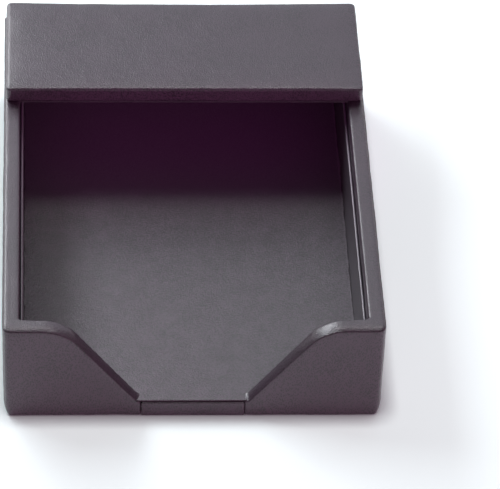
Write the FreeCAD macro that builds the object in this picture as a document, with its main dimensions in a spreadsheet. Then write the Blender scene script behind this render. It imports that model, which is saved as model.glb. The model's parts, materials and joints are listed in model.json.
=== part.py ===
import FreeCAD, Part
import os
import Sketcher

# Memo pad holder: a leather covered case with a rear cap, and a thin inner tray that slides out at the back.
# Millimetres. X is to the right, Y to the back and Z up; the origin is under the middle of the case.

# Driving sizes: name, value and meaning. Every one is a cell of the sheet.
SIZES = (
    ("case_width", 118.0, "case, outside, left to right"),
    ("case_depth", 167.0, "case, outside, front to back"),
    ("wall_top", 34.0, "top of the walls above the table"),
    ("wall_board", 3.0, "board inside a side wall"),
    ("wing_board", 3.8, "board inside a front wing"),
    ("leather", 1.0, "leather cover"),
    ("edge_round", 1.0, "rounding of the covered edges"),
    ("corner_round", 2.6, "rounding of the upright front corners"),
    ("notch_width", 32.2, "finger notch at the bottom, between the wing toes"),
    ("wing_top", 19.0, "wing top, from the case side to the line of the notch side"),
    ("notch_round", 13.5, "rounding where a notch side meets the wing top"),
    ("toe_top", 4.6, "height where the notch sides start, at the wing toes"),
    ("toe_round", 2.4, "rounding of a wing toe"),
    ("felt", 0.6, "felt under the case"),
    ("felt_inset", 2.0, "felt edge inside the case outline"),
    ("base_board", 2.8, "board of the base"),
    ("base_lining", 1.0, "lining that the tray runs on"),
    ("rear_sill", 8.0, "leather over the rear edge of the base, front to back"),
    ("sill_round", 0.6, "rounding of the sills and the tray back"),
    ("cap_depth", 49.5, "cap, front to back"),
    ("cap_thick", 6.2, "cap, leather included"),
    ("cap_inset", 0.7, "cap end inside the case side"),
    ("cap_board", 2.4, "board inside the cap"),
    ("cap_round", 1.2, "rounding of the cap edges"),
    ("cap_corner", 2.6, "rounding of the upright cap corners"),
    ("cap_lining", 0.5, "lining under the cap, between the walls"),
    ("run_gap", 0.2, "tray floor above the base lining"),
    ("side_gap", 0.6, "tray side to case wall"),
    ("end_gap", 0.4, "tray front to the wings and the sill ends"),
    ("cap_gap", 0.5, "tray back below the cap lining"),
    ("tray_floor", 0.8, "board of the tray floor"),
    ("floor_lining", 0.4, "lining on the tray floor"),
    ("tray_side", 0.8, "side of the tray"),
    ("rim_drop", 6.0, "tray rim below the wall top"),
    ("back_board", 2.4, "board of the tray back"),
    ("back_lining", 0.4, "lining on the tray back"),
)

doc = FreeCAD.newDocument("memo_pad_holder")
sheet = doc.addObject("Spreadsheet::Sheet", "Sizes")
for row, (alias, value, meaning) in enumerate(SIZES, start=1):
    sheet.set("A%d" % row, meaning)
    sheet.set("B%d" % row, str(value))
    sheet.setAlias("B%d" % row, alias)
doc.recompute()


def size(alias):
    """The expression that reads one cell of the sheet."""
    return "Sizes." + alias


def number(expression):
    """What an expression is worth now, in millimetres."""
    return float(sheet.evalExpression(expression))


# Places that several pieces share, as expressions on the sheet.
HALF_WIDTH = "Sizes.case_width / 2"
HALF_DEPTH = "Sizes.case_depth / 2"
WALL = "(Sizes.wall_board + 2 * Sizes.leather)"
WING = "(Sizes.wing_board + 2 * Sizes.leather)"
INSIDE = f"({HALF_WIDTH} - {WALL})"
WING_BACK = f"(-{HALF_DEPTH} + {WING})"
NOTCH = "Sizes.notch_width / 2"
BASE_TOP = "(Sizes.felt + Sizes.base_board)"
SILL_TOP = f"({BASE_TOP} + Sizes.base_lining)"
CAP_TOP = "(Sizes.wall_top + Sizes.cap_thick)"
CAP_END = f"({HALF_WIDTH} - Sizes.cap_inset)"
CAP_FRONT = f"({HALF_DEPTH} - Sizes.cap_depth)"
TRAY_END = f"({INSIDE} - Sizes.side_gap)"
TRAY_INSIDE = f"({TRAY_END} - Sizes.tray_side)"
TRAY_FRONT = f"({WING_BACK} + Sizes.end_gap)"
TRAY_BOTTOM = f"({SILL_TOP} + Sizes.run_gap)"
FLOOR_BOARD_TOP = f"({TRAY_BOTTOM} + Sizes.tray_floor)"
RIM = "(Sizes.wall_top - Sizes.rim_drop)"
BACK_TOP = "(Sizes.wall_top - Sizes.cap_lining - Sizes.cap_gap)"
BACK_BOARD_REAR = f"({HALF_DEPTH} - Sizes.leather)"
BACK_BOARD_FRONT = f"({BACK_BOARD_REAR} - Sizes.back_board)"
BACK_FRONT = f"({BACK_BOARD_FRONT} - Sizes.back_lining)"

# Two places closer than this are the same place.
TOUCH = 1e-4


def origin_plane(body, role):
    """One of the body's own origin planes."""
    return next(item for item in body.Origin.OriginFeatures if item.Role == role)


def new_body(label):
    body = doc.addObject("PartDesign::Body", label)
    body.Label = label
    return body


def new_sketch(body, name, role, offset):
    """A sketch on an origin plane of the body, moved along the plane's normal."""
    sketch = body.newObject("Sketcher::SketchObject", name)
    sketch.AttachmentSupport = [(origin_plane(body, role), "")]
    sketch.MapMode = "FlatFace"
    sketch.setExpression("AttachmentOffset.Base.z", offset)
    return sketch


def pin_point(sketch, line, end, name, across, up):
    """Ties one end of a line to a place given by two expressions."""
    for kind, axis, expression in (("DistanceX", "across", across), ("DistanceY", "up", up)):
        constraint = Sketcher.Constraint(kind, -1, 1, line, end, number(expression))
        index = sketch.addConstraint(constraint)
        sketch.renameConstraint(index, f"{name}_{axis}")
        sketch.setExpression(f"Constraints.{name}_{axis}", expression)


def draw_outline(sketch, corners):
    """A closed outline of straight lines through corners given as expressions."""
    places = [FreeCAD.Vector(number(across), number(up), 0) for across, up in corners]
    last = len(places) - 1
    for index, place in enumerate(places):
        following = places[0 if index == last else index + 1]
        sketch.addGeometry(Part.LineSegment(place, following), False)
    for index in range(len(places)):
        following = 0 if index == last else index + 1
        sketch.addConstraint(Sketcher.Constraint("Coincident", index, 2, following, 1))
    for index, (across, up) in enumerate(corners):
        pin_point(sketch, index, 1, f"corner{index}", across, up)


def pad_level(body, name, corners, bottom, top):
    """A plate between two heights, from an outline in X and Y."""
    sketch = new_sketch(body, name + "_outline", "XY_Plane", bottom)
    draw_outline(sketch, corners)
    pad = body.newObject("PartDesign::Pad", name + "_pad")
    pad.Profile = sketch
    pad.setExpression("Length", f"{top} - {bottom}")
    doc.recompute()
    return pad


def pad_upright(body, name, corners, front, rear):
    """A plate between two Y places, from an outline in X and Z. The plane's normal points to the front."""
    sketch = new_sketch(body, name + "_outline", "XZ_Plane", f"-({rear})")
    draw_outline(sketch, corners)
    pad = body.newObject("PartDesign::Pad", name + "_pad")
    pad.Profile = sketch
    pad.setExpression("Length", f"{rear} - ({front})")
    doc.recompute()
    return pad


def rectangle(left, right, low, high):
    return ((left, low), (right, low), (right, high), (left, high))


def plate(label, left, right, front, rear, bottom, top):
    """A flat rectangular sub-part."""
    body = new_body(label)
    pad_level(body, label, rectangle(left, right, front, rear), bottom, top)
    return body


def middle(edge):
    return edge.valueAt((edge.FirstParameter + edge.LastParameter) / 2)


def near(value, expression):
    return abs(value - number(expression)) < TOUCH


def round_edges(body, name, wanted, radius):
    """Rounds those edges of the body for which wanted(edge) is true."""
    base = body.Tip
    names = [f"Edge{i}" for i, edge in enumerate(base.Shape.Edges, start=1) if wanted(edge)]
    fillet = body.newObject("PartDesign::Fillet", name)
    fillet.Base = (base, names)
    fillet.setExpression("Radius", radius)
    doc.recompute()
    return fillet


def upright(edge):
    """A straight edge along Z."""
    start, end = edge.Vertexes[0].Point, edge.Vertexes[-1].Point
    return abs(start.x - end.x) < TOUCH and abs(start.y - end.y) < TOUCH


def across_wing(edge):
    """A straight edge along Y, as between the faces of a wing."""
    start, end = edge.Vertexes[0].Point, edge.Vertexes[-1].Point
    return abs(start.x - end.x) < TOUCH and abs(start.z - end.z) < TOUCH


def hollow_cut(label, outer, *cores):
    """A cover: the outer body less the pieces inside it."""
    inside = cores[0]
    if len(cores) > 1:
        inside = doc.addObject("Part::MultiFuse", label + "_core")
        inside.Shapes = list(cores)
    cover = doc.addObject("Part::Cut", label)
    cover.Label = label
    cover.Base = outer
    cover.Tool = inside
    doc.recompute()
    return cover


# Base of the case

def make_base():
    felt_x = f"({HALF_WIDTH} - Sizes.felt_inset)"
    felt_y = f"({HALF_DEPTH} - Sizes.felt_inset)"
    felt = plate("base_felt", f"-{felt_x}", felt_x, f"-{felt_y}", felt_y, "0", size("felt"))

    tongue_front = f"(-{HALF_DEPTH} + Sizes.leather)"
    board_rear = f"({HALF_DEPTH} - Sizes.leather)"
    board = new_body("base_board")
    board_outline = (
        (f"-{NOTCH}", tongue_front), (NOTCH, tongue_front), (NOTCH, WING_BACK), (INSIDE, WING_BACK),
        (INSIDE, board_rear), (f"-{INSIDE}", board_rear), (f"-{INSIDE}", WING_BACK), (f"-{NOTCH}", WING_BACK),
    )
    pad_level(board, "base_board", board_outline, size("felt"), BASE_TOP)

    sill_rear = f"({HALF_DEPTH} - Sizes.rear_sill)"
    lining = plate("base_lining", f"-{INSIDE}", INSIDE, WING_BACK, sill_rear, BASE_TOP, SILL_TOP)

    front_outer = plate("sill_outer", f"-{NOTCH}", NOTCH, f"-{HALF_DEPTH}", WING_BACK, size("felt"), SILL_TOP)
    round_edges(front_outer, "sill_outer_round", sill_edge(f"-{HALF_DEPTH}"), size("sill_round"))
    sill = hollow_cut("sill_leather", front_outer, board)

    rear_outer = plate("rear_sill_outer", f"-{INSIDE}", INSIDE, sill_rear, HALF_DEPTH, size("felt"), SILL_TOP)
    round_edges(rear_outer, "rear_sill_outer_round", sill_edge(HALF_DEPTH), size("sill_round"))
    rear_sill = hollow_cut("rear_sill_leather", rear_outer, board)
    return [felt, board, lining, sill, rear_sill]


def sill_edge(face):
    """The upper long edge of a sill, on its outer face."""
    return lambda edge: near(middle(edge).y, face) and near(middle(edge).z, SILL_TOP)


# Walls, wings and their leather

def wing_outline(inset):
    """Front outline of a wing, with every face moved in by inset: toe, bottom, top and upper notch corner."""
    rise = "(Sizes.wall_top - Sizes.toe_top)"
    run = f"({HALF_WIDTH} - Sizes.wing_top - {NOTCH})"
    steep = f"({rise} / {run})"
    toe_x = f"({NOTCH} + {inset})"
    toe_z = f"(Sizes.toe_top + {inset} * {steep} - {inset} * sqrt(1 + {steep} ^ 2))"
    low = f"(Sizes.felt + {inset})"
    high = f"(Sizes.wall_top - {inset})"
    top_x = f"({toe_x} + ({high} - {toe_z}) / {steep})"
    return toe_x, toe_z, low, high, top_x


def make_wing_block(body, name, side, inset, outer_x, front, rear):
    """A wing as a plate: toe, sloped notch side and top, with the notch roundings."""
    toe_x, toe_z, low, high, top_x = wing_outline(inset)
    corners = ((toe_x, low), (outer_x, low), (outer_x, high), (top_x, high), (toe_x, toe_z))
    pad_upright(body, name, [(f"{side} * {across}", up) for across, up in corners], front, rear)


def notch_edge(side, inset, corner):
    """The edge across the wing at its top corner or at its toe."""
    toe_x, toe_z, low, high, top_x = wing_outline(inset)
    across, up = {"top": (top_x, high), "toe": (toe_x, toe_z)}[corner]
    return lambda edge: (across_wing(edge) and near(middle(edge).x, f"{side} * {across}")
                         and near(middle(edge).z, up))


def make_side(word, side):
    """One side of the case: wall board, wing board and the leather that covers both."""
    board_x = f"({HALF_WIDTH} - Sizes.leather)"
    board_in = f"({INSIDE} + Sizes.leather)"
    board_front = f"(-{HALF_DEPTH} + Sizes.leather)"
    board_rear = f"({HALF_DEPTH} - Sizes.leather)"
    board_low = "(Sizes.felt + Sizes.leather)"
    board_high = "(Sizes.wall_top - Sizes.leather)"

    wall = plate(f"{word}_wall_board", f"{side} * {board_in}", f"{side} * {board_x}", board_front, board_rear,
                 board_low, board_high)
    round_edges(wall, f"{word}_wall_board_round",
                lambda edge: upright(edge) and near(middle(edge).y, board_front)
                and near(middle(edge).x, f"{side} * {board_x}"),
                "Sizes.corner_round - Sizes.leather")

    wing = new_body(f"{word}_wing_board")
    wing_rear = f"({WING_BACK} - Sizes.leather)"
    make_wing_block(wing, f"{word}_wing_board", side, size("leather"), board_in, board_front, wing_rear)
    round_edges(wing, f"{word}_wing_board_round", notch_edge(side, size("leather"), "top"),
                "Sizes.notch_round - Sizes.leather")
    round_edges(wing, f"{word}_wing_board_toe", notch_edge(side, size("leather"), "toe"),
                "Sizes.toe_round - Sizes.leather")

    outer = new_body(f"{word}_case_outer")
    make_wing_block(outer, f"{word}_case_wing", side, "0", HALF_WIDTH, f"-{HALF_DEPTH}", WING_BACK)
    wall_corners = rectangle(f"{side} * {INSIDE}", f"{side} * {HALF_WIDTH}", f"-{HALF_DEPTH}", HALF_DEPTH)
    pad_level(outer, f"{word}_case_wall", wall_corners, size("felt"), size("wall_top"))
    round_edges(outer, f"{word}_case_corner",
                lambda edge: upright(edge) and near(middle(edge).y, f"-{HALF_DEPTH}")
                and near(middle(edge).x, f"{side} * {HALF_WIDTH}"),
                size("corner_round"))
    round_edges(outer, f"{word}_case_notch", notch_edge(side, "0", "top"), size("notch_round"))
    round_edges(outer, f"{word}_case_toe", notch_edge(side, "0", "toe"), size("toe_round"))
    round_edges(outer, f"{word}_case_edges", soft_case_edge(side), size("edge_round"))
    cover = hollow_cut(f"{word}_case_leather", outer, wall, wing)
    return [wall, wing, cover]


def soft_case_edge(side):
    """Edges of the covered wall and wing that the leather rounds: all but the hidden ones at the bottom."""
    def wanted(edge):
        place = middle(edge)
        at_outside = near(place.x, f"{side} * {HALF_WIDTH}")
        at_front = near(place.y, f"-{HALF_DEPTH}")
        at_rear = near(place.y, HALF_DEPTH)
        if near(place.z, size("felt")):
            return at_outside or at_front or on_corner(place, side)
        if near(place.z, size("wall_top")):
            return not across_wing(edge) or at_outside or near(place.x, f"{side} * {INSIDE}")
        if at_rear:
            return True
        on_notch = abs(place.x) < number(INSIDE) - TOUCH and not across_wing(edge)
        return on_notch and (at_front or near(place.y, WING_BACK))
    return wanted


def on_corner(place, side):
    """Whether a place lies on the rounded upright front corner."""
    centre_x = number(f"{side} * ({HALF_WIDTH} - Sizes.corner_round)")
    centre_y = number(f"-{HALF_DEPTH} + Sizes.corner_round")
    reach = ((place.x - centre_x) ** 2 + (place.y - centre_y) ** 2) ** 0.5
    return near(reach, size("corner_round"))


# Cap over the rear of the case

def make_cap():
    core_end = f"({CAP_END} - Sizes.leather)"
    core_front = f"({CAP_FRONT} + Sizes.leather)"
    core_rear = f"({HALF_DEPTH} - Sizes.leather)"
    board_low = "(Sizes.wall_top + Sizes.leather)"
    board_high = f"({board_low} + Sizes.cap_board)"
    padding_high = f"({CAP_TOP} - Sizes.leather)"
    board = plate("cap_board", f"-{core_end}", core_end, core_front, core_rear, board_low, board_high)
    padding = plate("cap_padding", f"-{core_end}", core_end, core_front, core_rear, board_high, padding_high)
    for core in (board, padding):
        round_edges(core, core.Label + "_round", upright, "Sizes.cap_corner - Sizes.leather")

    outer = plate("cap_outer", f"-{CAP_END}", CAP_END, CAP_FRONT, HALF_DEPTH, size("wall_top"), CAP_TOP)
    round_edges(outer, "cap_outer_corner", upright, size("cap_corner"))
    round_edges(outer, "cap_outer_edges",
                lambda edge: near(middle(edge).z, size("wall_top")) or near(middle(edge).z, CAP_TOP),
                size("cap_round"))
    cover = hollow_cut("cap_leather", outer, board, padding)

    lining_low = "(Sizes.wall_top - Sizes.cap_lining)"
    lining = plate("cap_lining", f"-{INSIDE}", INSIDE, f"({CAP_FRONT} + Sizes.cap_round)",
                   f"({HALF_DEPTH} - Sizes.cap_round)", lining_low, size("wall_top"))
    return [board, padding, cover, lining]


# Tray that slides out at the back

def make_tray_floor():
    tongue_x = f"({NOTCH} - Sizes.end_gap)"
    tongue_front = f"(-{HALF_DEPTH} + Sizes.end_gap)"
    pieces = []
    for label, half, rear, low, high in (
        ("drawer_floor_board", TRAY_END, BACK_BOARD_REAR, TRAY_BOTTOM, FLOOR_BOARD_TOP),
        ("drawer_floor_lining", TRAY_INSIDE, BACK_FRONT, FLOOR_BOARD_TOP,
         f"({FLOOR_BOARD_TOP} + Sizes.floor_lining)"),
    ):
        body = new_body(label)
        outline = (
            (f"-{tongue_x}", tongue_front), (tongue_x, tongue_front), (tongue_x, TRAY_FRONT), (half, TRAY_FRONT),
            (half, rear), (f"-{half}", rear), (f"-{half}", TRAY_FRONT), (f"-{tongue_x}", TRAY_FRONT),
        )
        pad_level(body, label, outline, low, high)
        pieces.append(body)
    return pieces


def make_tray_sides():
    return [plate(f"drawer_{word}_side", f"{side} * {TRAY_INSIDE}", f"{side} * {TRAY_END}", TRAY_FRONT,
                  BACK_BOARD_FRONT, FLOOR_BOARD_TOP, RIM)
            for word, side in (("left", -1), ("right", 1))]


def make_tray_back():
    board_high = f"({BACK_TOP} - Sizes.leather)"
    board = plate("drawer_back_board", f"-{TRAY_END}", TRAY_END, BACK_BOARD_FRONT, BACK_BOARD_REAR,
                  FLOOR_BOARD_TOP, board_high)
    lining = plate("drawer_back_lining", f"-{TRAY_INSIDE}", TRAY_INSIDE, BACK_FRONT, BACK_BOARD_FRONT,
                   FLOOR_BOARD_TOP, board_high)
    outer = plate("drawer_back_outer", f"-{TRAY_END}", TRAY_END, BACK_BOARD_FRONT, HALF_DEPTH, TRAY_BOTTOM,
                  BACK_TOP)
    round_edges(outer, "drawer_back_edges", lambda edge: near(middle(edge).y, HALF_DEPTH), size("sill_round"))
    floor_board = doc.getObject("drawer_floor_board")
    cover = hollow_cut("drawer_back_leather", outer, board, floor_board)
    return [board, lining, cover]


pieces = make_base()
for word, side in (("left", -1), ("right", 1)):
    pieces += make_side(word, side)
pieces += make_cap()
pieces += make_tray_floor()
pieces += make_tray_sides()
pieces += make_tray_back()
doc.recompute()

for item in doc.Objects:
    if "Invalid" in item.State or "Error" in item.State:
        raise RuntimeError(item.Label + " did not build: " + str(item.State))
for piece in pieces:
    if piece.Shape.isNull() or not piece.Shape.isValid():
        raise RuntimeError(piece.Label + " has no valid shape")

os.makedirs("parts", exist_ok=True)
for piece in pieces:
    piece.Shape.exportStep("parts/" + piece.Label + ".step")
    box = piece.Shape.BoundBox
    spans = (("X", box.XMin, box.XMax), ("Y", box.YMin, box.YMax), ("Z", box.ZMin, box.ZMax))
    places = ", ".join(f"{axis} {low:.2f} to {high:.2f}" for axis, low, high in spans)
    print(f"{piece.Label}: {len(piece.Shape.Solids)} solid, {piece.Shape.Volume:.1f} mm3, {places}")
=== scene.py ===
import json
import math

import bpy
from mathutils import Matrix, Vector, noise


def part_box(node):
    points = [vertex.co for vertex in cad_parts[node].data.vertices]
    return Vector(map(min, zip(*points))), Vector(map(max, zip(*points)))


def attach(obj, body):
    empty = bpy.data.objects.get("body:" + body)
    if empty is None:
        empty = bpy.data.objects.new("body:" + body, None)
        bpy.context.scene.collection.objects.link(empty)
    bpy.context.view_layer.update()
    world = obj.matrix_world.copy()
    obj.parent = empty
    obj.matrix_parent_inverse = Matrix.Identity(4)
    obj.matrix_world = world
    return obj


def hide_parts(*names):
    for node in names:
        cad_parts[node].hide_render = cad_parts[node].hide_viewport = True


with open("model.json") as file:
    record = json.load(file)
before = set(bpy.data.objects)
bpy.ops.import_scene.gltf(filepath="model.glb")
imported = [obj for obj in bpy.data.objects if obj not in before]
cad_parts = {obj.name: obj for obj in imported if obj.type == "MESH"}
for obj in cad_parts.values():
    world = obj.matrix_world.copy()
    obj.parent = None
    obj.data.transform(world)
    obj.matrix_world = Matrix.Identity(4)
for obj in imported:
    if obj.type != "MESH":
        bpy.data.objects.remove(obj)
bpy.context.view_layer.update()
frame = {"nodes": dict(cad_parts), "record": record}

# Looks of a leather covered memo pad holder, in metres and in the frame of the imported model.
# X is to the right, Y to the back and Z up.

MM = 0.001

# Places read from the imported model
CASE_LOW, CASE_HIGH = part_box("right_case_leather")
WALL_LOW, WALL_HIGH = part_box("right_wall_board")
LEATHER = CASE_HIGH.x - WALL_HIGH.x
HALF_WIDTH = CASE_HIGH.x
WALL_INSIDE = WALL_LOW.x - LEATHER
WING_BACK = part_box("right_wing_board")[1].y + LEATHER
TOE_X = CASE_LOW.x
TRAY_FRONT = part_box("drawer_left_side")[0].y
TRAY_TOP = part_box("drawer_left_side")[1].z
SILL_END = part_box("sill_leather")[1].x
CAP_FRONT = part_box("cap_leather")[0].y
LINING_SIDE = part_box("drawer_floor_lining")[1].x

# Limits for picking edges, faces and vertices
NEAR = 0.1 * MM
ALONG = 0.9
ACROSS = 0.1
SHARP_TURN = math.radians(35)
SMOOTH_TURN = math.radians(40)
CUT_THRESHOLD = 0.001 * MM

# Finger notch: its side rises from the top of the toe to the top of the wing
TOE_TOP = 4.6 * MM
WING_TOP = 19.0 * MM
NOTCH_TOP_X = HALF_WIDTH - WING_TOP
NOTCH_RISE = CASE_HIGH.z - TOE_TOP
NOTCH_RUN = NOTCH_TOP_X - TOE_X
NOTCH_TURN = math.atan2(NOTCH_RISE, NOTCH_RUN)

# Roundings of the covered edges
NOTCH_ROUND = 13.5 * MM
TOE_ROUND = 2.4 * MM
CORNER_ROUND = 2.6 * MM
EDGE_ROUND = 0.9 * MM
INNER_ROUND = 0.3 * MM
FOOT_ROUND = 0.4 * MM
SIDE_FOOT_ROUND = 2.4 * MM
CAP_CORNER = 1.6 * MM
CAP_EDGE = 0.8 * MM
SILL_EDGE = 0.25 * MM
RIM_EDGE = 0.36 * MM

# Leather skin: its mesh, and the heights of its waves and dimples
SKIN_GRID = 0.42 * MM
SILL_GRID = 0.3 * MM
WAVE_LENGTH = 24 * MM
DIMPLE_LENGTH = 7 * MM
COVER_WAVES = (0.3 * MM, 0.2 * MM)
SILL_WAVES = (0.12 * MM, 0.05 * MM)
TRAY_BACK_WAVES = (0.2 * MM, 0.05 * MM)

# Softness of the walls and wings. A fall says how late the form drops towards an edge.
WALL_SWELL = 0.35 * MM
WALL_FACE = WALL_INSIDE - WALL_SWELL
FACE_ROOM = 0.6 * MM
SWELL = 0.4 * MM
SHOULDER_DEPTH = 0.45 * MM
SHOULDER_REACH = 1.2 * MM
DOME = 0.5 * MM
INNER_DOME = 0.5
WALL_FALL = 4
WING_FRONT_FALL = 2
WING_BACK_FALL = 6
DOME_FROM = 0.2
DOME_FULL = 0.5
TOE_THIN = 1.7 * MM
THIN_REACH = 3.5 * MM
TOE_LIFT = 1.3 * MM
TOE_LIFT_REACH = 2.0 * MM
LIFT_FROM = 0.3
LIFT_FULL = 0.7
FOOT_DROP = 0.3 * MM
FOOT_DRAW = 0.4 * MM
FOOT_TUCK = 0.8 * MM
FOOT_TUCK_HEIGHT = 5 * MM

# Softness of the cap
CAP_CROWN = 0.7 * MM
CROWN_SIDE_FALL = 14
CROWN_FRONT_FALL = 8
CAP_STRETCH = 0.35 * MM
CAP_TUCK = 0.8 * MM
TUCK_FALL = 6
TUCK_CURL = 1.5
REAR_BOW = 0.9 * MM
REAR_BOW_FALL = 3

# Front sill
SEAM = 0.09 * MM
LIP_THICK = 0.7 * MM
LIP_RISE = 0.85 * MM

# Tray: floor lining with a frayed edge, and sides with a flared and wavy rim
LINING_ROOM = 0.3 * MM
TONGUE_ROOM = 1.3 * MM
LINING_INSET = 0.5 * MM
FRAY_CUTS = 180
FRAY_STEP = 1.4 * MM
FRAY_DRIFT = 4 * MM
FRAY_DRIFT_SHARE = 0.6
FRAY_WIDTH = 0.3 * MM
FRAY_LIFT = 0.12 * MM
TRAY_DRAW = 0.1 * MM
RIM_FLARE = 0.22 * MM
RIM_FLARE_FALL = 4
RIM_FROM = 0.9
RIM_WAVE = 0.2 * MM
RIM_WAVE_LENGTH = 18 * MM
SIDE_CUT_HEIGHTS = (0.6, 0.75, 0.85, 0.92)
SIDE_CUTS_ALONG = 60
SIDE_SWAY = 0.06 * MM
SIDE_SWAY_LENGTH = 45 * MM

# Edges of the finishes: torn paper, cut card with a painted highlight on its rim, and the stretch of floor
# that the sheets have worn
TORN_PAPER = "#756A73"
TORN_FROM = LINING_SIDE - 1.0 * MM
TORN_FADE = 0.3 * MM
CUT_EDGE_AND_RIM_HIGHLIGHT = "#786D78"
RIM_HIGHLIGHT_FROM = TRAY_TOP - RIM_EDGE
RIM_HIGHLIGHT_FADE = RIM_EDGE / 2
WORN_TO = CAP_FRONT - 25 * MM
WORN_FADE = 20 * MM

# Sheet under the holder
SHEET_SIZE = 4.0
SHEET_COLOUR = "#EDF6F4"
SHEET_GLOW_COLOUR = "#F8FFFF"
SHEET_GLOW = 0.625
# Reach and depth of the painted contact shade in the sheet's glow
CONTACT_REACH = 7 * MM
CONTACT_DEPTH = 2.2

# Lamp powers in watts, and strengths of the surroundings
SOFT_BOX_POWER = 4.35
CORE_POWER = 1.4
STRIP_POWER = 2.5
WINDOW_POWER = 3.2
EDGE_CARD_POWER = 0.4
LEFT_CARD_POWER = 1.1
FILL_POWER = 0.0038
FILL_SPREAD = math.radians(14)
ROOM_LIGHT = 0.03
ROOM_GLOSS = 0.22
BANK_LIGHT = 2.35
BANK_COLOUR = "#FFC9EA"
BANK_WAY = (0.7, -0.71, 0)


def clip(value):
    """Keeps a share between 0 and 1."""
    return min(max(value, 0), 1)


# Modelling by hand: blocks, picks, cuts, roundings and modifiers

def new_piece(name, low, high):
    """A block between two corners, to be shaped in edit mode."""
    bpy.ops.object.select_all(action="DESELECT")
    bpy.ops.mesh.primitive_cube_add(size=1, location=(low + high) / 2, scale=high - low)
    piece = bpy.context.active_object
    piece.name = name
    piece.data.name = name
    bpy.ops.object.transform_apply(location=True, rotation=True, scale=True)
    return piece


def pick(piece, kind, wanted):
    """In edit mode, selects the faces or edges that wanted(middle, direction) accepts."""
    bpy.ops.object.mode_set(mode="OBJECT")
    mesh = piece.data
    bpy.context.tool_settings.mesh_select_mode = (False, kind == "EDGE", kind == "FACE")
    for group in (mesh.vertices, mesh.edges, mesh.polygons):
        group.foreach_set("select", [False] * len(group))
    if kind == "FACE":
        for face in mesh.polygons:
            face.select = wanted(face.center, face.normal)
    else:
        for edge in mesh.edges:
            start, end = (mesh.vertices[index] for index in edge.vertices)
            edge.select = wanted((start.co + end.co) / 2, (end.co - start.co).normalized())
            if edge.select:
                start.select = end.select = True
    bpy.ops.object.mode_set(mode="EDIT")


def cut(piece, place, normal, clear):
    """Cuts the whole piece by a plane, and takes away what lies ahead of the plane where clear is set."""
    bpy.ops.object.mode_set(mode="EDIT")
    bpy.ops.mesh.select_all(action="SELECT")
    bpy.ops.mesh.bisect(plane_co=place, plane_no=Vector(normal).normalized(), use_fill=clear,
                        clear_outer=clear, threshold=CUT_THRESHOLD)


def pull_out(way):
    """Extrudes the selected faces by a distance along each axis."""
    bpy.ops.mesh.extrude_region_move(TRANSFORM_OT_translate={"value": way})


def round_picked(width, segments):
    """Rounds the selected edges. width is how far the rounding reaches along each face."""
    bpy.ops.mesh.bevel(offset=width, segments=segments, profile=0.5, affect="EDGES", clamp_overlap=True)


def round_sharp(piece, width, segments):
    """Rounds every edge of the piece that still has a sharp turn."""
    pick(piece, "EDGE", lambda middle, along: False)
    bpy.ops.mesh.edges_select_sharp(sharpness=SHARP_TURN)
    round_picked(width, segments)


def apply_modifier(piece, kind, **settings):
    bpy.ops.object.mode_set(mode="OBJECT")
    bpy.context.view_layer.objects.active = piece
    modifier = piece.modifiers.new(kind.lower(), kind)
    for name, value in settings.items():
        setattr(modifier, name, value)
    bpy.ops.object.modifier_apply(modifier=modifier.name)


def waves(name, length, depth):
    """A soft unevenness, as long as a real wave of the hide."""
    texture = bpy.data.textures.new(name, "CLOUDS")
    texture.noise_scale = length
    texture.noise_depth = depth
    return texture


HIDE_WAVES = waves("hide_waves", WAVE_LENGTH, 1)
HIDE_DIMPLES = waves("hide_dimples", DIMPLE_LENGTH, 2)


def lay_leather(piece, heights, grid=SKIN_GRID):
    """Turns a shaped block into an even skin that is a little soft and uneven, as pasted leather is."""
    apply_modifier(piece, "REMESH", mode="VOXEL", voxel_size=grid)
    apply_modifier(piece, "SMOOTH", factor=0.5, iterations=1)
    for texture, height in zip((HIDE_WAVES, HIDE_DIMPLES), heights):
        apply_modifier(piece, "DISPLACE", texture=texture, texture_coords="LOCAL", strength=height,
                       mid_level=0.5)
    bpy.ops.object.shade_smooth()


# Case covers: one skin over each wall and its wing

def on_line(middle, corner):
    """Whether a place lies on the line along Y through a corner."""
    return math.hypot(middle.x - corner.x, middle.z - corner.z) < NEAR


def faces_inward(middle, along, side):
    """Whether an edge is one of the upper inside edges, along the wall or along the back of the wing."""
    on_wall = abs(along.y) > ALONG and abs(side * middle.x - WALL_FACE) < NEAR
    on_wing_back = abs(along.y) < ACROSS and abs(middle.y - WING_BACK) < NEAR
    on_wing = on_wing_back and side * middle.x < WALL_FACE
    return middle.z > TOE_TOP and (on_wall or on_wing)


def wing_edge_distance(x, z):
    """How far a place on a wing's front lies inside the edge that runs over its top and down the notch."""
    below = CASE_HIGH.z - z
    beside = (x - TOE_X) * math.sin(NOTCH_TURN) - (z - TOE_TOP) * math.cos(NOTCH_TURN)
    centre_z = CASE_HIGH.z - NOTCH_ROUND
    centre_x = TOE_X + ((centre_z - TOE_TOP) * math.cos(NOTCH_TURN) + NOTCH_ROUND) / math.sin(NOTCH_TURN)
    lean = math.atan2(centre_x - x, z - centre_z)
    if 0 < lean < NOTCH_TURN:
        return NOTCH_ROUND - math.hypot(x - centre_x, z - centre_z)
    return min(below, beside)


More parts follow.
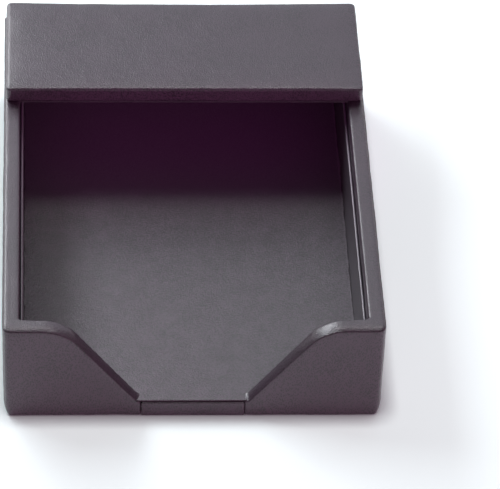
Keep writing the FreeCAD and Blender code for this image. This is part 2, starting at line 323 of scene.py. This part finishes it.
def dome_top(piece, side):
    """Rounds the tops of the wall and of the wing softly from edge to edge, as leather pulls over board."""
    wall_middle = (WALL_FACE + HALF_WIDTH) / 2
    wall_half = (HALF_WIDTH - WALL_FACE) / 2
    wing_middle = (CASE_LOW.y + WING_BACK) / 2
    wing_half = (WING_BACK - CASE_LOW.y) / 2
    normals = [vertex.normal.copy() for vertex in piece.data.vertices]
    for vertex, normal in zip(piece.data.vertices, normals):
        outward = (side * vertex.co.x - wall_middle) / wall_half
        forward = (wing_middle - vertex.co.y) / wing_half
        if side * vertex.co.x < WALL_FACE - FACE_ROOM:
            fall = forward ** WING_FRONT_FALL if forward > 0 else INNER_DOME * forward ** WING_BACK_FALL
        elif vertex.co.y > WING_BACK:
            fall = abs(outward) ** WALL_FALL * (1.0 if outward > 0 else INNER_DOME)
        else:
            fall = max(max(outward, 0) ** WALL_FALL, max(forward, 0) ** WING_FRONT_FALL)
        faces_up = clip((normal.z - DOME_FROM) / (DOME_FULL - DOME_FROM))
        drop = DOME * faces_up * min(fall, 1)
        vertex.co.x -= normal.x * drop
        vertex.co.z -= normal.z * drop


def clear_tray_way(piece, side):
    """Keeps the inner face of the wall flat, so that the tray slides past it freely."""
    for vertex in piece.data.vertices:
        if vertex.co.y > WING_BACK and side * vertex.co.x > WALL_FACE - FACE_ROOM:
            vertex.co.x = side * max(side * vertex.co.x, WALL_FACE)


def swell_wing(piece):
    """Lets the front of a wing swell a little, and fall back in a soft shoulder under its turned edge."""
    for vertex in piece.data.vertices:
        if vertex.co.y < CASE_LOW.y + LEATHER:
            inside = max(wing_edge_distance(abs(vertex.co.x), vertex.co.z), 0)
            vertex.co.y += SHOULDER_DEPTH * math.exp(-inside / SHOULDER_REACH) - SWELL


def thin_wing(piece, side):
    """Thins the wing from the wall to its toe, so that the turned edge runs out narrow at the notch."""
    for vertex in piece.data.vertices:
        towards_toe = (WALL_FACE - side * vertex.co.x) / (WALL_FACE - TOE_X)
        towards_back = (vertex.co.y - WING_BACK) / THIN_REACH + 1
        vertex.co.y -= TOE_THIN * clip(towards_toe) * clip(towards_back)


def lift_toe(piece, side):
    """Lifts the tip of the wing a little, where the leather is folded round its toe."""
    for vertex in piece.data.vertices:
        towards_tip = clip(1 - (side * vertex.co.x - TOE_X) / TOE_LIFT_REACH)
        upper = clip((vertex.co.z / TOE_TOP - LIFT_FROM) / (LIFT_FULL - LIFT_FROM))
        vertex.co.z += TOE_LIFT * towards_tip ** 2 * upper


def draw_foot_in(piece, side, foot, top):
    """Pulls the outside of a wall in towards its foot, where the leather is turned under."""
    for vertex in piece.data.vertices:
        outward = (side * vertex.co.x - WALL_FACE) / (HALF_WIDTH - WALL_FACE)
        down = (top - vertex.co.z) / (top - foot)
        tuck = max(1 - (vertex.co.z - foot) / FOOT_TUCK_HEIGHT, 0) ** 2
        vertex.co.x -= side * clip(outward) * (FOOT_DRAW * down + FOOT_TUCK * tuck)


def model_case_cover(word, side):
    low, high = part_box(f"{word}_case_leather")
    low.z -= FOOT_DROP
    piece = new_piece(f"{word}_case_cover", low, Vector((high.x, WING_BACK, high.z)))

    # The side of the notch, rounded into the wing's top and into its toe
    cut(piece, (side * TOE_X, 0, TOE_TOP), (-side * NOTCH_RISE, 0, NOTCH_RUN), True)
    for x, z, radius, bend, segments in (
        (NOTCH_TOP_X, high.z, NOTCH_ROUND, NOTCH_TURN, 20),
        (TOE_X, TOE_TOP, TOE_ROUND, math.pi / 2 - NOTCH_TURN, 8),
    ):
        corner = Vector((side * x, 0, z))
        pick(piece, "EDGE", lambda middle, along: abs(along.y) > ALONG and on_line(middle, corner))
        round_picked(radius * math.tan(bend / 2), segments)

    # The wall behind the wing
    cut(piece, (side * WALL_FACE, 0, 0), (1, 0, 0), False)
    pick(piece, "FACE", lambda middle, normal: normal.y > ALONG and side * middle.x > WALL_FACE)
    pull_out((0, high.y - WING_BACK, 0))

    # Roundings: the front corner, the foot, the toe, the inside edges and then all that is still sharp
    pick(piece, "EDGE", lambda middle, along: abs(along.z) > ALONG and middle.y < low.y + EDGE_ROUND
         and side * middle.x > HALF_WIDTH - EDGE_ROUND)
    round_picked(CORNER_ROUND, 10)
    pick(piece, "EDGE", lambda middle, along: abs(along.y) > ALONG and middle.z < low.z + FOOT_ROUND
         and side * middle.x > HALF_WIDTH - FOOT_ROUND)
    round_picked(SIDE_FOOT_ROUND, 4)
    pick(piece, "EDGE", lambda middle, along: abs(along.y) < ACROSS and middle.z < TOE_TOP
         and side * middle.x < TOE_X + FOOT_ROUND)
    round_picked(FOOT_ROUND, 2)
    pick(piece, "EDGE", lambda middle, along: middle.z < low.z + FOOT_ROUND
         and middle.y < low.y + FOOT_ROUND)
    round_picked(FOOT_ROUND, 2)
    pick(piece, "EDGE", lambda middle, along: faces_inward(middle, along, side))
    round_picked(INNER_ROUND, 2)
    round_sharp(piece, EDGE_ROUND, 4)

    lay_leather(piece, COVER_WAVES)
    dome_top(piece, side)
    clear_tray_way(piece, side)
    swell_wing(piece)
    thin_wing(piece, side)
    lift_toe(piece, side)
    draw_foot_in(piece, side, low.z, high.z)
    return piece


# Cap: a padded board in leather

def model_cap():
    low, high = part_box("cap_leather")
    piece = new_piece("cap_cover", low, high)
    pick(piece, "EDGE", lambda middle, along: abs(along.z) > ALONG)
    round_picked(CAP_CORNER, 8)
    round_sharp(piece, CAP_EDGE, 6)
    lay_leather(piece, COVER_WAVES)
    centre = (low + high) / 2
    half = (high - low) / 2
    for vertex in piece.data.vertices:
        across = (vertex.co.x - centre.x) / half.x
        along = (vertex.co.y - centre.y) / half.y
        upper = max(vertex.co.z - centre.z, 0) / half.z
        pillow = (1 - across ** CROWN_SIDE_FALL) * (1 - along ** CROWN_FRONT_FALL)
        vertex.co.z += CAP_CROWN * upper * (pillow - 1)
        vertex.co.y += max(along, 0) ** REAR_BOW_FALL * (REAR_BOW / 2 - REAR_BOW * (1 - across ** 2))
        vertex.co.x += CAP_STRETCH * max(across, 0)
        down = (high.z - vertex.co.z) / (high.z - low.z)
        vertex.co.y += CAP_TUCK * max(down, 0) ** TUCK_CURL * max(-along, 0) ** TUCK_FALL
    return piece


# Sills: leather strips over the front and rear edges of the base

def model_sill(name, node, end_seam, lip):
    """A strip with its upper edge rounded. lip is how far its front stands up before the tray floor."""
    low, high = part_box(node)
    low.z -= FOOT_DROP
    gap = Vector((end_seam, 0, 0))
    piece = new_piece(name, low + gap, high - gap)
    if lip:
        cut(piece, (0, low.y + LIP_THICK, 0), (0, 1, 0), False)
        pick(piece, "FACE", lambda middle, normal: normal.z > ALONG and middle.y < low.y + LIP_THICK)
        pull_out((0, 0, lip))
    pick(piece, "EDGE", lambda middle, along: abs(along.x) > ALONG and middle.z > high.z + lip / 2)
    round_picked(SILL_EDGE, 3)
    lay_leather(piece, SILL_WAVES, SILL_GRID)
    for vertex in piece.data.vertices:
        if vertex.co.y < CASE_LOW.y + LEATHER:
            vertex.co.y -= SWELL
    return piece


# Tray: floor lining, sides and back

def fray_edge(piece, edge, foot):
    """Tears the paper a little in and out along its two long edges, and lifts it there."""
    for vertex in piece.data.vertices:
        if abs(vertex.co.x) > edge - NEAR:
            drift = noise.noise(vertex.co / FRAY_DRIFT)
            fray = noise.noise(vertex.co / FRAY_STEP) + FRAY_DRIFT_SHARE * drift
            vertex.co.x += math.copysign(FRAY_WIDTH, vertex.co.x) * fray
            if vertex.co.z > foot + NEAR:
                vertex.co.z += FRAY_LIFT * fray


def model_floor_lining():
    """The lining, with a tongue that runs out between the wings and follows their thinned toes."""
    low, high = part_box("drawer_floor_lining")
    tongue = SILL_END + TONGUE_ROOM
    edge = high.x - LINING_ROOM
    piece = new_piece("floor_lining", Vector((low.x + LINING_ROOM, TRAY_FRONT, low.z)),
                      Vector((edge, high.y, high.z)))
    for x in (-tongue, tongue):
        cut(piece, (x, 0, 0), (1, 0, 0), False)
    pick(piece, "FACE", lambda middle, normal: normal.y < -ALONG and abs(middle.x) < tongue)
    pull_out((0, low.y - TRAY_FRONT, 0))
    bpy.ops.object.mode_set(mode="OBJECT")
    for vertex in piece.data.vertices:
        if abs(vertex.co.y - TRAY_FRONT) < NEAR and abs(vertex.co.x) < tongue + NEAR:
            vertex.co.y -= TOE_THIN
    pick(piece, "FACE", lambda middle, normal: normal.z > ALONG)
    for _ in range(2):
        bpy.ops.mesh.inset(thickness=LINING_INSET, depth=0)
    pick(piece, "EDGE", lambda middle, along: abs(along.y) > ALONG
         and abs(middle.x) > tongue + LINING_ROOM)
    bpy.ops.mesh.subdivide(number_cuts=FRAY_CUTS)
    bpy.ops.object.mode_set(mode="OBJECT")
    fray_edge(piece, edge, low.z)
    bpy.ops.object.shade_smooth_by_angle(angle=SMOOTH_TURN)
    return piece


def model_tray_side(word, side):
    """A side of thin card, drawn in from the wall, with a rim that flares and waves a little."""
    low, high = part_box(f"drawer_{word}_side")
    piece = new_piece(f"tray_{word}_side", low, high)
    pick(piece, "EDGE", lambda middle, along: middle.z > high.z - RIM_EDGE and abs(along.y) > ALONG)
    round_picked(RIM_EDGE, 4)
    for share in SIDE_CUT_HEIGHTS:
        cut(piece, (0, 0, low.z + (high.z - low.z) * share), (0, 0, 1), False)
    pick(piece, "EDGE", lambda middle, along: abs(along.y) > ALONG)
    bpy.ops.mesh.subdivide(number_cuts=SIDE_CUTS_ALONG)
    bpy.ops.object.mode_set(mode="OBJECT")
    for vertex in piece.data.vertices:
        up = (vertex.co.z - low.z) / (high.z - low.z)
        sway = noise.noise(Vector((side, vertex.co.y / SIDE_SWAY_LENGTH, 0)))
        wave = noise.noise(Vector((side, vertex.co.y / RIM_WAVE_LENGTH, 3)))
        vertex.co.x += SIDE_SWAY * sway * up + side * (RIM_FLARE * up ** RIM_FLARE_FALL - TRAY_DRAW)
        if up > RIM_FROM:
            vertex.co.z += RIM_WAVE * wave
    bpy.ops.object.shade_smooth_by_angle(angle=SMOOTH_TURN)
    return piece


def model_tray_back():
    low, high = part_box("drawer_back_leather")
    piece = new_piece("tray_back_cover", low, high)
    round_sharp(piece, SILL_EDGE, 3)
    lay_leather(piece, TRAY_BACK_WAVES)
    return piece


# Finishes

def linear(colour):
    """An sRGB hex colour as linear RGBA."""
    parts = [int(colour[place:place + 2], 16) / 255 for place in (1, 3, 5)]
    return tuple(p / 12.92 if p <= 0.04045 else ((p + 0.055) / 1.055) ** 2.4 for p in parts) + (1.0,)


def add(tree, kind, settings=None, links=None):
    """Adds a node. settings go to its sockets or else its properties. links name a socket and its source."""
    node = tree.nodes.new(kind)
    for name, value in (settings or {}).items():
        if isinstance(name, int) or name in node.inputs:
            node.inputs[name].default_value = value
        else:
            setattr(node, name, value)
    for name, source in (links or {}).items():
        tree.links.new(source, node.inputs[name])
    return node


def new_finish(name, settings):
    """A material with one principled shader, and the tree, shader and object coordinates to build on."""
    material = bpy.data.materials.new(name)
    material.use_nodes = True
    tree = material.node_tree
    tree.nodes.clear()
    shader = add(tree, "ShaderNodeBsdfPrincipled", settings)
    add(tree, "ShaderNodeOutputMaterial", links={"Surface": shader.outputs["BSDF"]})
    place = add(tree, "ShaderNodeTexCoord").outputs["Object"]
    return material, tree, shader, place


def calf_leather():
    """Calf leather with a pressed grain and a pigment finish, dark aubergine."""
    # The film of pigment gives the eye a soft satin sheen, which pebbles and creases break up.
    # Pressed pebbles are about 0.2 mm wide. They are drawn about twice as coarse, to show in the render.
    pebble = 0.44 * MM
    pebble_depth = 0.09 * MM
    crease = 3.0 * MM
    crease_share = 0.35
    cloud = 14 * MM
    cloud_share = 0.4
    upright_stretch = (1, 1, 0.6)
    hollow_tone_and_shade = "#271D26"
    crest_tone_and_light = "#4A3947"
    material, tree, shader, place = new_finish("calf_leather", {
        "IOR": 1.56, "Coat Weight": 0.2, "Coat Roughness": 0.2, "Coat IOR": 1.45})
    upright = add(tree, "ShaderNodeMapping", {"Scale": upright_stretch}, {"Vector": place})
    pebbles = add(tree, "ShaderNodeTexVoronoi",
                  {"feature": "SMOOTH_F1", "Scale": 1 / pebble, "Smoothness": 0.6},
                  {"Vector": upright.outputs[0]})
    creases = add(tree, "ShaderNodeTexNoise",
                  {"Scale": 1 / crease, "Detail": 6, "Roughness": 0.6, "Distortion": 0.8},
                  {"Vector": upright.outputs[0]})
    clouds = add(tree, "ShaderNodeTexNoise", {"Scale": 1 / cloud, "Detail": 3}, {"Vector": place})
    relief = add(tree, "ShaderNodeMath", {"operation": "MULTIPLY_ADD", 1: crease_share},
                 {0: creases.outputs["Fac"], 2: pebbles.outputs["Distance"]})
    bump = add(tree, "ShaderNodeBump", {"Strength": 1.0, "Distance": pebble_depth},
               {"Height": relief.outputs[0]})
    # The colour follows the grain: hollows are painted darker and crests paler, as painted shade and light of
    # the relief, over a tone that the clouds vary at random.
    depth = add(tree, "ShaderNodeMath", {"operation": "MULTIPLY_ADD", 1: cloud_share},
                {0: clouds.outputs["Fac"], 2: pebbles.outputs["Distance"]})
    share = add(tree, "ShaderNodeMapRange", {"From Min": 0.42, "From Max": 0.74},
                {"Value": depth.outputs[0]})
    colour = add(tree, "ShaderNodeMix", {"data_type": "RGBA", 6: linear(hollow_tone_and_shade), 7: linear(crest_tone_and_light)},
                 {0: share.outputs[0]})
    gloss = add(tree, "ShaderNodeMapRange", {"To Min": 0.28, "To Max": 0.46},
                {"Value": creases.outputs["Fac"]})
    tree.links.new(colour.outputs[2], shader.inputs["Base Color"])
    tree.links.new(gloss.outputs[0], shader.inputs["Roughness"])
    tree.links.new(bump.outputs[0], shader.inputs["Normal"])
    return material


def suede_paper(name, dark, pale, worn_to=None, torn_from=None):
    """Suede paper or felt: short fibres, worn to specks before worn_to and torn past torn_from."""
    # The nap gives the eye a matt face that greys where light grazes it.
    # Its fibres are finer than 0.1 mm. Their tufts are drawn several times as coarse, to show in the render.
    nap = 0.62 * MM
    nap_height = 0.18 * MM
    patch = 5 * MM
    patch_share = 0.2
    even_share = 0.5
    material, tree, shader, place = new_finish(name, {
        "IOR": 1.8, "Sheen Weight": 0.1, "Sheen Roughness": 0.4})
    fibres = add(tree, "ShaderNodeTexNoise", {"Scale": 1 / nap, "Detail": 4, "Roughness": 0.7},
                 {"Vector": place})
    patches = add(tree, "ShaderNodeTexNoise", {"Scale": 1 / patch, "Detail": 3}, {"Vector": place})
    blend = add(tree, "ShaderNodeMath", {"operation": "MULTIPLY_ADD", 1: patch_share},
                {0: patches.outputs["Fac"], 2: fibres.outputs["Fac"]})
    share = add(tree, "ShaderNodeMapRange", {"From Min": 0.48, "From Max": 0.74},
                {"Value": blend.outputs[0]})
    if worn_to:
        back = add(tree, "ShaderNodeSeparateXYZ", links={0: place})
        least = add(tree, "ShaderNodeMapRange",
                    {"From Min": worn_to, "From Max": worn_to + WORN_FADE, "To Max": even_share},
                    {"Value": back.outputs["Y"]})
        most = add(tree, "ShaderNodeMath", {"operation": "SUBTRACT", 0: 1.0}, {1: least.outputs[0]})
        tree.links.new(least.outputs[0], share.inputs["To Min"])
        tree.links.new(most.outputs[0], share.inputs["To Max"])
    colour = add(tree, "ShaderNodeMix", {"data_type": "RGBA", 6: linear(dark), 7: linear(pale)},
                 {0: share.outputs[0]})
    if torn_from:
        across = add(tree, "ShaderNodeSeparateXYZ", links={0: place})
        torn = add(tree, "ShaderNodeMapRange", {"From Min": torn_from, "From Max": torn_from + TORN_FADE},
                   {"Value": across.outputs["X"]})
        torn_share = add(tree, "ShaderNodeMath", {"operation": "MULTIPLY"},
                         {0: torn.outputs[0], 1: fibres.outputs["Fac"]})
        colour = add(tree, "ShaderNodeMix", {"data_type": "RGBA", 7: linear(TORN_PAPER)},
                     {0: torn_share.outputs[0], 6: colour.outputs[2]})
    bump = add(tree, "ShaderNodeBump", {"Strength": 0.9, "Distance": nap_height},
               {"Height": fibres.outputs["Fac"]})
    gloss = add(tree, "ShaderNodeMapRange",
                {"From Min": 0.3, "From Max": 0.7, "To Min": 0.45, "To Max": 0.75},
                {"Value": fibres.outputs["Fac"]})
    tree.links.new(gloss.outputs[0], shader.inputs["Roughness"])
    tree.links.new(colour.outputs[2], shader.inputs["Base Color"])
    tree.links.new(bump.outputs[0], shader.inputs["Normal"])
    return material


def fibre_board(name, dark, pale, roughness, index=1.5, rim_highlight_from=None):
    """Board, card or wadding, pressed from fibres. Above rim_highlight_from the card's rim is paler, as its
    cut edge and as a painted highlight.
    """
    # The pressed fibres give the eye an even face with small flecks, matt unless it is lined.
    # The fibres are about 0.1 mm thick. Their flecks are drawn coarser, to show in the render.
    fleck = 0.7 * MM
    fleck_height = 0.05 * MM
    material, tree, shader, place = new_finish(name, {"Roughness": roughness, "IOR": index})
    flecks = add(tree, "ShaderNodeTexNoise", {"Scale": 1 / fleck, "Detail": 5, "Roughness": 0.65},
                 {"Vector": place})
    colour = add(tree, "ShaderNodeMix", {"data_type": "RGBA", 6: linear(dark), 7: linear(pale)},
                 {0: flecks.outputs["Fac"]})
    # The paler rim is the card's cut edge and also a painted highlight along it.
    if rim_highlight_from:
        up = add(tree, "ShaderNodeSeparateXYZ", links={0: place})
        rim = add(tree, "ShaderNodeMapRange", {"From Min": rim_highlight_from, "From Max": rim_highlight_from + RIM_HIGHLIGHT_FADE},
                  {"Value": up.outputs["Z"]})
        colour = add(tree, "ShaderNodeMix", {"data_type": "RGBA", 7: linear(CUT_EDGE_AND_RIM_HIGHLIGHT)},
                     {0: rim.outputs[0], 6: colour.outputs[2]})
    bump = add(tree, "ShaderNodeBump", {"Strength": 0.3, "Distance": fleck_height},
               {"Height": flecks.outputs["Fac"]})
    tree.links.new(colour.outputs[2], shader.inputs["Base Color"])
    tree.links.new(bump.outputs[0], shader.inputs["Normal"])
    return material


# Stage: sheet, lamps, surroundings and camera

def shown_share(tree):
    """1 for rays that show the surroundings directly or through something clear, else 0."""
    path = add(tree, "ShaderNodeLightPath")
    return add(tree, "ShaderNodeMath", {"operation": "MAXIMUM"},
               {0: path.outputs["Is Camera Ray"], 1: path.outputs["Is Transmission Ray"]}).outputs[0]


def reflected_share(tree):
    """1 for rays that show the surroundings in a reflection, else 0."""
    return add(tree, "ShaderNodeLightPath").outputs["Is Glossy Ray"]


def lay_sheet():
    """A white sheet that glows a little to the camera and keeps the shadow. Its glow is dimmed beside the
    case, as painted contact shade.
    """
    bpy.ops.object.select_all(action="DESELECT")
    bpy.ops.mesh.primitive_plane_add(size=SHEET_SIZE)
    sheet = bpy.context.active_object
    sheet.name = "floor_sheet"
    material = bpy.data.materials.new("white_sheet")
    material.use_nodes = True
    tree = material.node_tree
    tree.nodes.clear()
    paper = add(tree, "ShaderNodeBsdfDiffuse", {"Color": linear(SHEET_COLOUR)})
    seen = add(tree, "ShaderNodeMath", {"operation": "MAXIMUM"},
               {0: shown_share(tree), 1: reflected_share(tree)})
    # The glow fades where the case closes over the sheet: painted contact shade.
    cover = add(tree, "ShaderNodeAmbientOcclusion", {"samples": 16, "Distance": CONTACT_REACH})
    open_share = add(tree, "ShaderNodeMath", {"operation": "POWER", 1: CONTACT_DEPTH},
                     {0: cover.outputs["AO"]})
    glow_share = add(tree, "ShaderNodeMath", {"operation": "MULTIPLY"},
                     {0: seen.outputs[0], 1: open_share.outputs[0]})
    strength = add(tree, "ShaderNodeMath", {"operation": "MULTIPLY", 1: SHEET_GLOW},
                   {0: glow_share.outputs[0]})
    glow = add(tree, "ShaderNodeEmission", {"Color": linear(SHEET_GLOW_COLOUR)},
               {"Strength": strength.outputs[0]})
    both = add(tree, "ShaderNodeAddShader", links={0: paper.outputs[0], 1: glow.outputs[0]})
    add(tree, "ShaderNodeOutputMaterial", links={"Surface": both.outputs[0]})
    sheet.data.materials.append(material)


def hang_lamp(name, power, colour, size, toward, distance=1.0, aim=(0, 0, 0), along_case=False):
    """A lamp of a width and height that shines on aim. along_case lays its height along the walls."""
    lamp = bpy.data.lights.new(name, "AREA")
    lamp.shape = "RECTANGLE"
    lamp.size, lamp.size_y = size
    lamp.energy = power
    lamp.color = linear(colour)[:3]
    stand = bpy.data.objects.new(name, lamp)
    direction = Vector(toward).normalized()
    stand.location = Vector(aim) + direction * distance
    if along_case:
        across = Vector((0, 1, 0)).cross(direction).normalized()
        turn = Matrix((across, direction.cross(across), direction)).transposed()
        stand.rotation_euler = turn.to_euler()
    else:
        stand.rotation_euler = direction.to_track_quat("Z", "Y").to_euler()
    bpy.context.collection.objects.link(stand)
    return stand


def hang_lamps():
    """A soft box at the left, window light from behind, cards for the sheen, and a dim fill under the cap."""
    hang_lamp("soft_box", SOFT_BOX_POWER, "#F2F8FF", (0.25, 0.62), (-0.76, 0.78, 1.0), 0.9, along_case=True)
    hang_lamp("window_core", CORE_POWER, "#FFFFFF", (0.3, 0.3), (-0.37, 0.785, 0.5))
    top_strip = hang_lamp("top_strip", STRIP_POWER, "#FFFFFF", (0.8, 0.2), (0.0, 0.5, 1.0))
    hang_lamp("rear_window", WINDOW_POWER, "#EDF4FF", (1.3, 1.0), (0.02, 0.85, 0.52))
    hang_lamp("edge_card", EDGE_CARD_POWER, "#FFFFFF", (0.5, 0.4), (0.6, 0.79, 0.1))
    left_card = hang_lamp("left_card", LEFT_CARD_POWER, "#FFFFFF", (0.5, 0.3), (-0.66, 0.75, 0.1))
    for stand in (top_strip, left_card):
        stand.visible_diffuse = False
    fill = hang_lamp("deep_fill", FILL_POWER, "#FF58EE", (0.1, 0.018), (0.0, -0.83, 0.55), 0.3,
                     (0, 0.05, 0.006))
    fill.data.spread = FILL_SPREAD
    fill.visible_camera = False
    fill.visible_glossy = False


def light_room():
    """White surroundings, with a pink bank low at the front right that only matt surfaces see."""
    world = bpy.data.worlds.new("white_room")
    bpy.context.scene.world = world
    world.use_nodes = True
    tree = world.node_tree
    tree.nodes.clear()
    shown = shown_share(tree)
    reflected = reflected_share(tree)
    unseen_strength = add(tree, "ShaderNodeMapRange", {"To Min": ROOM_LIGHT, "To Max": ROOM_GLOSS},
                          {"Value": reflected})
    room_strength = add(tree, "ShaderNodeMapRange", {"To Max": 1.0},
                        {"Value": shown, "To Min": unseen_strength.outputs[0]})
    room = add(tree, "ShaderNodeBackground", {"Color": (1, 1, 1, 1)},
               {"Strength": room_strength.outputs[0]})
    room_way = add(tree, "ShaderNodeTexCoord").outputs["Generated"]
    way = add(tree, "ShaderNodeSeparateXYZ", links={0: room_way})
    ahead = add(tree, "ShaderNodeVectorMath", {"operation": "DOT_PRODUCT", 1: BANK_WAY}, {0: room_way})
    front = add(tree, "ShaderNodeMapRange", {"From Min": 0.1, "From Max": 0.6},
                {"Value": ahead.outputs["Value"]})
    low = add(tree, "ShaderNodeMapRange", {"From Min": 0.5, "From Max": 0.25}, {"Value": way.outputs["Z"]})
    bank_share = add(tree, "ShaderNodeMath", {"operation": "MULTIPLY"},
                     {0: front.outputs[0], 1: low.outputs[0]})
    seen = add(tree, "ShaderNodeMath", {"operation": "MAXIMUM"}, {0: shown, 1: reflected})
    unseen = add(tree, "ShaderNodeMapRange", {"To Min": BANK_LIGHT, "To Max": 0.0},
                 {"Value": seen.outputs[0]})
    bank_strength = add(tree, "ShaderNodeMath", {"operation": "MULTIPLY"},
                        {0: bank_share.outputs[0], 1: unseen.outputs[0]})
    bank = add(tree, "ShaderNodeBackground", {"Color": linear(BANK_COLOUR)},
               {"Strength": bank_strength.outputs[0]})
    both = add(tree, "ShaderNodeAddShader", links={0: room.outputs[0], 1: bank.outputs[0]})
    add(tree, "ShaderNodeOutputWorld", links={"Surface": both.outputs[0]})


def place_camera():
    """The photograph's view: a long lens, from the front and above, turned and tipped a little."""
    aim = Vector((19.69, -23.10, 20.0)) * MM
    distance = 1364.2 * MM
    downward = math.radians(38.087)
    heading = math.radians(-3.582)
    tip = math.radians(2.153)
    turn = (Matrix.Rotation(heading, 3, "Z") @ Matrix.Rotation(math.pi / 2 - downward, 3, "X")
            @ Matrix.Rotation(tip, 3, "Z"))
    camera = bpy.data.objects.new("camera", bpy.data.cameras.new("camera"))
    camera.data.sensor_width = 36
    camera.data.lens = 307.5
    camera.location = aim + turn @ Vector((0, 0, distance))
    camera.rotation_euler = turn.to_euler()
    bpy.context.collection.objects.link(camera)
    bpy.context.scene.camera = camera


# Finishes of the record's slots, given to the solids that stay in sight
leather = calf_leather()
floor_suede = suede_paper("suede_paper", "#1A111A", "#6F5E6D", WORN_TO, TORN_FROM)
dark_suede = suede_paper("dark_suede_paper", "#2E1A2C", "#3A2237")
tray_card = fibre_board("lined_card", "#433B42", "#504850", 0.35, 1.75, RIM_HIGHLIGHT_FROM)
# The tray floor board shows only its front end, dark as inked board and as painted shade of the gap under the
# lining's edge.
inked_edge_and_gap_shade = fibre_board("inked_board_and_gap_shade", "#3A2D37", "#483A45", 0.5)
grey_board = fibre_board("grey_board", "#6F6A63", "#8C877E", 0.85)
wadding = fibre_board("wadding", "#BDB8AE", "#D6D2C9", 0.95)
felt = suede_paper("wool_felt", "#101011", "#1E1E20")

FINISH_OF_SLOT = {
    "leather": leather, "cap_leather": leather, "floor_lining": floor_suede, "lining": dark_suede,
    "tray_card": tray_card, "board": grey_board, "padding": wadding, "felt": felt,
}
FINISH_OF_NODE = {"drawer_floor_board": inked_edge_and_gap_shade}
for subpart in frame["record"]["subparts"]:
    node = frame["nodes"][subpart["node"]]
    for slot in node.material_slots:
        slot.material = FINISH_OF_NODE.get(subpart["node"], FINISH_OF_SLOT[subpart["material_slot"]])


def dress(piece, body, slot_name, *nodes):
    """Gives a modelled piece its finish and its body, and hides the solids that it stands for."""
    piece.data.materials.clear()
    piece.data.materials.append(FINISH_OF_SLOT[slot_name])
    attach(piece, body)
    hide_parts(*nodes)


for word, side in (("left", -1), ("right", 1)):
    dress(model_case_cover(word, side), "case", "leather", f"{word}_case_leather", f"{word}_wing_board")
    dress(model_tray_side(word, side), "drawer", "tray_card", f"drawer_{word}_side")
cap = model_cap()
dress(cap, "case", "cap_leather", "cap_leather", "cap_padding")
dress(model_sill("front_sill", "sill_leather", SEAM, LIP_RISE), "case", "leather", "sill_leather")
dress(model_sill("rear_sill", "rear_sill_leather", 0, 0), "case", "leather", "rear_sill_leather")
dress(model_floor_lining(), "drawer", "floor_lining", "drawer_floor_lining")
dress(model_tray_back(), "drawer", "leather", "drawer_back_leather")

lay_sheet()
hang_lamps()
light_room()
place_camera()
bpy.context.scene.view_settings.view_transform = "Standard"
